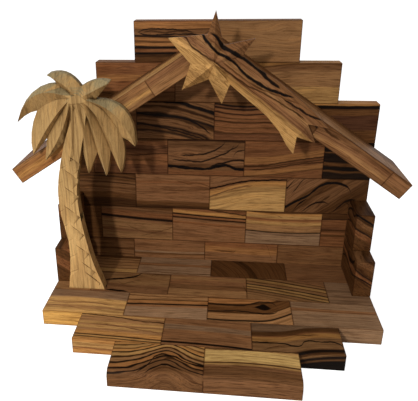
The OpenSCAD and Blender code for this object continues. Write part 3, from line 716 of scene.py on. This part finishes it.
def with_veins(w, cut, colour, x, y, z, seed):
    """A colour with the cut's single dark lines drawn over it."""
    place = w.place(x, y, z)
    for i, text in enumerate(cut.get("veins", ())):
        head, path = text.split(":")
        tone, width = head.split()
        points = [tuple(float(v) for v in spot.split()) for spot in path.split("/")]
        start, stop = points[0][0], points[-1][0]
        if start <= NEAR_START:
            start = -VEIN_RUN_ON
        if abs(stop - BLOCK_LENGTH) < NEAR_STOP:
            stop += VEIN_RUN_ON
        colour = w.group("vein", {
            "Base": colour, "Tone": linear(tone), "Place": place,
            "Centre": w.curve(x, points, *VEIN_RANGE), "Width": float(width) / 2,
            "From": start, "To": stop, "Seed": seed + VEIN_SEED_STEP * i,
        }).outputs["Colour"]
    return colour


def with_flanks(w, colour, x, y, z, seed, flanks):
    """Brown right and lower sides of a carved piece, partly its own and partly painted shade, its grey
    top edges and painted shade in its creases.
    """
    brown_and_shade_share, grey_share = flanks
    right, _, up = w.parts(w.add("TexCoord").outputs["Normal"])
    flank_ragging = w.noise("flank_ragging", (x, y, z), (seed, 0, 0), 2)
    grey = w.marks(w.times_add(flank_ragging, GREY_RAGGED, up), "grey top", grey_share)
    colour = w.mix(grey, colour, linear("moss"))
    # Sides that face right or down are browned: partly the wood's own brown, partly painted shade
    brown = w.most(w.marks(w.times_add(flank_ragging, BROWN_AND_SHADE_RAGGED, right), "brown side", brown_and_shade_share),
                   w.marks(up, "brown underside", brown_and_shade_share))
    colour = w.mix(brown, colour, w.tinted(colour, FLANK_BROWN_AND_SHADE))
    # Painted shade in the creases, where little of the room's light reaches
    open_air = w.add("AmbientOcclusion", {"Distance": CREASE_SHADE_REACH * MM}, samples=8).outputs["AO"]
    return w.mix(w.marks(open_air, "crease"), colour, w.tinted(colour, CREASE_SHADE))


def seed_of(name):
    """A number of its own for each piece, which moves its uneven spots."""
    weights = (ord(letter) * (i + LETTER_WEIGHT) for i, letter in enumerate(name))
    return sum(weights) % SEEDS / SEED_DENSITY


def wood(name, cut, corner, axes, size, over=0.0, flanks=None):
    """The material of one piece: its cut laid from a corner along the piece's own axes.

    axes point along the grain, across it and into the piece. over says how far the cut moves
    across with the depth, so that 1 runs it on over the far edge and -1 over the near one. flanks
    gives the brown of a carved piece's sides, partly its own and partly painted shade, the painted
    shade in its creases and the grey of its top edges, and such a piece has no joints.
    """
    material = bpy.data.materials.new(name)
    material.use_nodes = True
    w = Wiring(material.node_tree)
    shader = material.node_tree.nodes["Principled BSDF"]
    seed = seed_of(name)
    place = block_place(w, corner, axes)
    x, y, z = w.parts(place)
    laid_y = w.times_add(z, over, y)
    grain_x, grain_y = turned(w, x, laid_y, cut["turn"], size) if "turn" in cut else (x, laid_y)
    line = grain_line(w, cut, grain_x, grain_y, z, seed)
    colour = with_veins(w, cut, band_tones(w, cut, line), x, laid_y, z, seed)
    if "shade" in cut:
        colour = w.tinted(colour, [cut["shade"]] * 3)
    # Painted shade: the fade darkens the piece past its start, down to the share of light left
    if "fade" in cut:
        start, end, left = cut["fade"]
        colour = w.mix(w.ramp(x, start, end), colour, w.tinted(colour, [left] * 3))
    if flanks:
        colour = with_flanks(w, colour, x, y, z, seed, flanks)
    grain = w.group("grain", {
        "Base": colour, "Place": place, "Line": line, "Size": size, "Seed": seed,
        "Ring width": cut.get("rings", 3.0), "Ring dark": cut.get("ring_dark", 0.5),
        "Fine": cut.get("fine", 1.0), "Patch": cut.get("patch", 0.5), "Joint": 0.0 if flanks else 1.0,
    })
    relief = w.add("Bump", {"Strength": RELIEF_STRENGTH, "Distance": RELIEF_DEPTH * MM,
                            "Height": grain.outputs["Height"]})
    w.join_all({"Base Color": grain.outputs["Colour"], "Roughness": grain.outputs["Roughness"],
                "Normal": relief.outputs[0], "Specular IOR Level": GLOSS}, shader)
    return material


def mesh_of(node):
    """A merged, simplified copy of a CAD node's mesh."""
    bm = bmesh.new()
    bm.from_mesh(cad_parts[node].data)
    bmesh.ops.remove_doubles(bm, verts=bm.verts, dist=MERGE_GAP * MM)
    bmesh.ops.dissolve_limit(bm, angle_limit=math.radians(FLAT_ANGLE), verts=bm.verts, edges=bm.edges)
    return bm


def ease_edges(bm, width, angle=SHARP_ANGLE):
    """Rounds every edge that is sharper than an angle, as sanding does."""
    sharp = [e for e in bm.edges if e.is_manifold and e.calc_face_angle(0) > math.radians(angle)]
    bmesh.ops.bevel(bm, geom=sharp, offset=width * MM, offset_type="OFFSET", segments=2, profile=0.5,
                    affect="EDGES", material=-1, clamp_overlap=True)


def finish_piece(bm, name, node, material):
    """Turns a mesh under work into a named piece that stands for its CAD node."""
    mesh = bpy.data.meshes.new(name)
    bm.to_mesh(mesh)
    bm.free()
    piece = bpy.data.objects.new(name, mesh)
    bpy.context.scene.collection.objects.link(piece)
    mesh.materials.append(material)
    for face in mesh.polygons:
        face.use_smooth = False
    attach(piece, "root")
    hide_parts(node)


def corner_of(node, x_end, y_end, z_end):
    """A corner of a node's box: 0 is the lowest and 1 the highest along each axis."""
    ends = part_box(node)
    return Vector((ends[x_end][0], ends[y_end][1], ends[z_end][2]))


def box_size(node):
    low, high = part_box(node)
    return [(h - l) / MM for l, h in zip(low, high)]


def panel_middle():
    """The middle of the back panel, where the two blocks of its top row meet."""
    return corner_of("wall_row_1_block_2", 0, 0, 0).x


def make_block(node, material, ease):
    """A sawn block: its CAD solid with eased edges."""
    bm = mesh_of(node)
    ease_edges(bm, ease)
    finish_piece(bm, node + "_wood", node, material)


def make_wall():
    """The back panel: each cut runs down the front face, and up over the top edge."""
    for (row, block), cut in WALL_CUTS.items():
        node = f"wall_row_{row}_block_{block}"
        length, depth, height = box_size(node)
        material = wood(node, cut, corner_of(node, 0, 0, 1), (X, -Z, Y), (length, height, depth), -1.0)
        make_block(node, material, BLOCK_EASE)


def make_floor():
    """The floor: each cut runs forward over the top, and down over the front edge."""
    for (strip, block), cut in FLOOR_CUTS.items():
        node = f"floor_strip_{strip}_block_{block}"
        length, depth, height = box_size(node)
        material = wood(node, cut, corner_of(node, 0, 1, 1), (X, -Y, -Z), (length, depth, height), 1.0)
        make_block(node, material, BLOCK_EASE)


def make_side_walls():
    """The side walls: each cut runs down both faces, along their depth."""
    for (side, level), cut in SIDE_CUTS.items():
        node = f"side_wall_{side}_{level}"
        width, depth, height = box_size(node)
        material = wood(node, cut, corner_of(node, 1, 0, 1), (Y, -Z, -X), (depth, height, width),
                        SIDE_OVER)
        make_block(node, material, SIDE_EASE)


def sloping_axes(degrees):
    """Directions down a slope from left to right, square to it downwards, and backwards."""
    angle = math.radians(degrees)
    return (Vector((math.cos(angle), 0, -math.sin(angle))),
            Vector((-math.sin(angle), 0, -math.cos(angle))), Y)


def roof_wood(name, cut, bm, side):
    """The cut of a roof block, laid on its front face from the upper edge down."""
    axes = sloping_axes(ROOF_SLOPES[side])
    reaches = [[v.co.dot(axis) for v in bm.verts] for axis in axes]
    corner = sum((axis * min(reach) for axis, reach in zip(axes, reaches)), Vector())
    size = [(max(reach) - min(reach)) / MM for reach in reaches]
    return wood(name, cut, corner, axes, size, -1.0)


def make_roof():
    for (side, block), cut in ROOF_CUTS.items():
        node = f"roof_{side}_block_{block}"
        bm = mesh_of(node)
        material = roof_wood(node, cut, bm, side)
        ease_edges(bm, ROOF_EASE)
        finish_piece(bm, node + "_wood", node, material)
    for side, shares in REAR_JOINTS.items():
        make_rear_strip(side, shares)


def make_rear_strip(side, shares):
    """The trimmed strip against the back panel, cut at its joints into its blocks."""
    node = f"roof_{side}_rear_strip"
    along, _, _ = sloping_axes(ROOF_SLOPES[side])
    whole = mesh_of(node)
    reach = [v.co.dot(along) for v in whole.verts]
    whole.free()
    ridge, eaves = (min(reach), max(reach)) if side == "right" else (max(reach), min(reach))
    outwards = along if eaves > ridge else -along
    for i, (start, end) in enumerate(zip(shares, shares[1:])):
        bm = mesh_of(node)
        for share, keep in ((start, outwards), (end, -outwards)):
            if 0 < share < 1:
                saw(bm, along * (ridge + (eaves - ridge) * share), keep)
        bmesh.ops.dissolve_degenerate(bm, dist=ROOF_SLIVER * MM, edges=bm.edges)
        name = f"roof_{side}_rear_block_{i + 1}"
        material = roof_wood(name, ROOF_REAR_CUT, bm, side)
        ease_edges(bm, REAR_EASE)
        finish_piece(bm, name, node, material)


def saw(bm, place, keep):
    """Saws a block through at a place, keeps the side that a direction points to and closes it."""
    parts = bmesh.ops.bisect_plane(bm, geom=bm.verts[:] + bm.edges[:] + bm.faces[:], dist=CUT_GAP * MM,
                                   plane_co=place, plane_no=keep, clear_inner=True)
    rim = [e for e in parts["geom_cut"] if isinstance(e, bmesh.types.BMEdge)]
    bmesh.ops.contextual_create(bm, geom=rim)


def make_carved(node, material, ease):
    """A carved piece: its CAD solid with its ridges and cuts eased by a fine abrasive."""
    bm = mesh_of(node)
    ease_edges(bm, ease, CARVED_ANGLE)
    bmesh.ops.dissolve_degenerate(bm, dist=CARVED_SLIVER * MM, edges=bm.edges)
    finish_piece(bm, node + "_wood", node, material)


def make_star():
    """The comet star: its cut runs down the tail."""
    node = "comet_star"
    axes = sloping_axes(TAIL_SLOPE)
    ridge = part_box("roof_right_block_1")[1][2]
    corner = Vector((panel_middle(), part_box(node)[1][1], ridge - STAR_DROP * MM))
    corner -= (axes[0] * STAR_CUT_BEFORE + axes[1] * STAR_CUT_ABOVE) * MM
    material = wood(node, STAR_CUT, corner, axes, box_size(node), STAR_OVER, STAR_FLANKS)
    make_carved(node, material, STAR_EASE)


def notch_shade_lines():
    """The painted shade lines in the notches up the palm's trunk, from their outer ends to the inner ones.
    """
    lines = []
    for tone, way, slope, notches in (RIGHT_NOTCH_SHADES, LEFT_NOTCH_SHADES):
        for up, inner, run, width in notches:
            drop = run * math.tan(math.radians(slope))
            lines.append(f"{tone} {width}: {up - drop} {inner + way * run} / {up} {inner}")
    return lines


def make_palm():
    """The palm: its cut runs up the trunk from the foot."""
    node = "palm_tree"
    corner = corner_of(node, 0, 0, 0)
    corner.x = panel_middle() - PALM_CUT_INSET * MM
    # The notch lines are painted shade, drawn as veins
    cut = dict(PALM_CUT, veins=notch_shade_lines() + PALM_CUT["veins"])
    material = wood(node, cut, corner, (Z, X, Y), box_size(node), flanks=PALM_FLANKS)
    make_carved(node, material, PALM_EASE)


def make_camera(middle):
    across = Vector((math.cos(CAMERA_YAW), math.sin(CAMERA_YAW), 0))
    ahead = Vector((-math.sin(CAMERA_YAW) * math.cos(CAMERA_PITCH),
                    math.cos(CAMERA_YAW) * math.cos(CAMERA_PITCH), math.sin(CAMERA_PITCH)))
    upward = across.cross(ahead)
    right = across * math.cos(CAMERA_ROLL) + upward * math.sin(CAMERA_ROLL)
    top = upward * math.cos(CAMERA_ROLL) - across * math.sin(CAMERA_ROLL)
    data = bpy.data.cameras.new("camera")
    data.sensor_width = SENSOR_MM
    data.lens = SENSOR_MM * FOCAL_PX / PHOTO_PX[0]
    data.shift_x = (PHOTO_PX[0] / 2 - MIDDLE_PX[0]) / PHOTO_PX[0]
    data.shift_y = (MIDDLE_PX[1] - PHOTO_PX[1] / 2) / PHOTO_PX[0]
    camera = bpy.data.objects.new("camera", data)
    turn = Matrix((right, top, -ahead)).transposed().to_4x4()
    camera.matrix_world = Matrix.Translation(CAMERA_PLACE * MM + X * middle) @ turn
    bpy.context.scene.collection.objects.link(camera)
    bpy.context.scene.camera = camera


def lamp(name, way, distance, size, power):
    """A soft square lamp that looks at the stable."""
    data = bpy.data.lights.new(name, "AREA")
    data.energy = power
    data.size = size
    light = bpy.data.objects.new(name, data)
    light.location = LAMP_AIM + Vector(way).normalized() * distance
    light.rotation_euler = (light.location - LAMP_AIM).to_track_quat("Z", "Y").to_euler()
    bpy.context.scene.collection.objects.link(light)


def seen_by(w, *rays):
    """1 where the camera or a mirror image sees a surface, and 0 where it lights the object."""
    path = w.add("LightPath").outputs
    seen = path[rays[-1]]
    for ray in reversed(rays[:-1]):
        seen = w.most(path[ray], seen)
    return seen


def make_room():
    """A white room: plain to the camera, and dim to the object."""
    world = bpy.data.worlds.new("room")
    bpy.context.scene.world = world
    world.use_nodes = True
    w = Wiring(world.node_tree)
    back = world.node_tree.nodes["Background"]
    seen = seen_by(w, "Is Camera Ray", "Is Glossy Ray", "Is Transmission Ray")
    w.join_all({"Color": (1, 1, 1, 1), "Strength": w.times_add(seen, 1.0 - ROOM_LIGHT, ROOM_LIGHT)}, back)


def make_white_floor():
    """A plain pale floor that keeps the object's shadow."""
    bm = bmesh.new()
    bmesh.ops.create_grid(bm, x_segments=1, y_segments=1, size=FLOOR_REACH)
    mesh = bpy.data.meshes.new("floor")
    bm.to_mesh(mesh)
    bm.free()
    floor = bpy.data.objects.new("floor", mesh)
    bpy.context.scene.collection.objects.link(floor)
    material = bpy.data.materials.new("white_floor")
    material.use_nodes = True
    mesh.materials.append(material)
    w = Wiring(material.node_tree)
    seen = seen_by(w, "Is Camera Ray", "Is Glossy Ray")
    w.join_all({"Base Color": (FLOOR_WHITE, FLOOR_WHITE, FLOOR_WHITE, 1), "Roughness": FLOOR_ROUGHNESS,
                "Specular IOR Level": 0.0, "Emission Color": (1, 1, 1, 1),
                "Emission Strength": w.times(seen, FLOOR_GLOW)}, material.node_tree.nodes["Principled BSDF"])


make_camera(panel_middle())
bpy.context.scene.view_settings.view_transform = "Standard"
make_wall()
make_floor()
make_roof()
make_side_walls()
make_star()
make_palm()
make_room()
make_white_floor()
lamp("key", **KEY_LAMP)
lamp("soft", **SOFT_LAMP)
